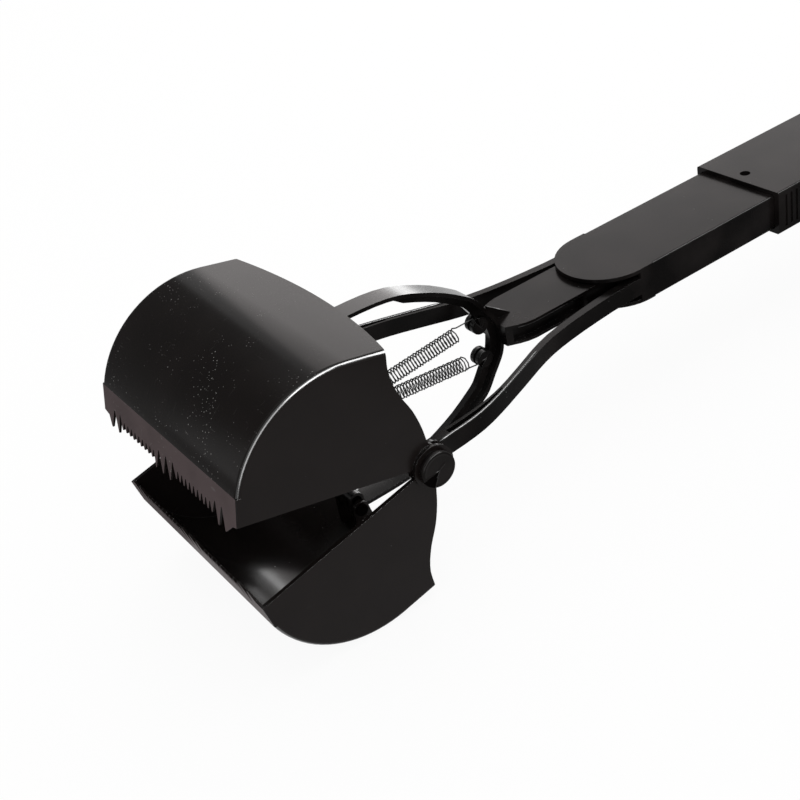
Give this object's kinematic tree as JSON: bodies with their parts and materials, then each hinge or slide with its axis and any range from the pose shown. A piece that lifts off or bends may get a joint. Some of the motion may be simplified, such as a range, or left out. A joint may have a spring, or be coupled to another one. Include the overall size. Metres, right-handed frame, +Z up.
{
  "type": "pooper scooper",
  "caption": "Long-handled scoop with two hinged toothed jaws that a squeeze of the trigger in its loop grip opens and two springs draw together again.",
  "frame": {"origin": "bottom centre of the whole tool as it lies, on the surface it rests on", "axes": "+X from the jaws to the grip, +Y across the jaws to the far side, +Z up out of the upper jaw"},
  "size_m": [0.7128, 0.1724, 0.1731],
  "materials": {
    "gloss_black": "semi-gloss",
    "satin_black": "satin",
    "spring_steel": "bright",
    "zinc_steel": "satin"
  },
  "bodies": {
    "handle": {"fork": "gloss_black", "hinge_axle": "gloss_black", "hinge_cap": "gloss_black", "washer_near": "zinc_steel", "washer_far": "zinc_steel", "shaft": "gloss_black", "shaft_screw": "zinc_steel", "rod_guide": "satin_black", "grip_left": "satin_black", "grip_right": "satin_black", "trigger_pivot_pin": "zinc_steel", "grip_screw_1": "zinc_steel", "grip_screw_2": "zinc_steel", "grip_screw_3": "zinc_steel", "grip_screw_4": "zinc_steel", "spring_upper": "spring_steel", "spring_lower": "spring_steel"},
    "pull": {"bow_link": "gloss_black", "link_pin": "zinc_steel", "pull_rod": "satin_black"},
    "jaw_upper": {"upper_jaw": "gloss_black", "upper_jaw_pin": "zinc_steel"},
    "jaw_lower": {"lower_jaw": "gloss_black", "lower_jaw_pin": "zinc_steel"},
    "lever": {"trigger": "gloss_black", "trigger_link_pin": "zinc_steel"}
  },
  "joints": [
    {"name": "trigger_squeeze", "type": "hinge", "parent": "handle", "child": "lever", "pos_m": [0.28111, 0, 0.01031], "axis": [0, 1, 0], "range_deg": [-7.4, 15.73], "stiffness_Nm_per_rad": 3.6},
    {"name": "pull_slide", "type": "slide", "parent": "handle", "child": "pull", "axis": [1, 0, 0], "range_m": [-0.01008, 0.02143], "deforming": ["spring_upper", "spring_lower"]},
    {"name": "upper_jaw_swing", "type": "hinge", "parent": "handle", "child": "jaw_upper", "pos_m": [-0.23857, 0, 0.08656], "axis": [0, 1, 0], "range_deg": [-9.41, 20.01]},
    {"name": "lower_jaw_swing", "type": "hinge", "parent": "handle", "child": "jaw_lower", "pos_m": [-0.23857, 0, 0.08656], "axis": [0, -1, 0], "range_deg": [-9.41, 20.01]}
  ],
  "couplings": [
    {"joint": "pull_slide", "follows": "trigger_squeeze", "m_per_rad": 0.078},
    {"joint": "upper_jaw_swing", "follows": "trigger_squeeze", "ratio": 1.2712},
    {"joint": "lower_jaw_swing", "follows": "trigger_squeeze", "ratio": 1.2712}
  ]
}
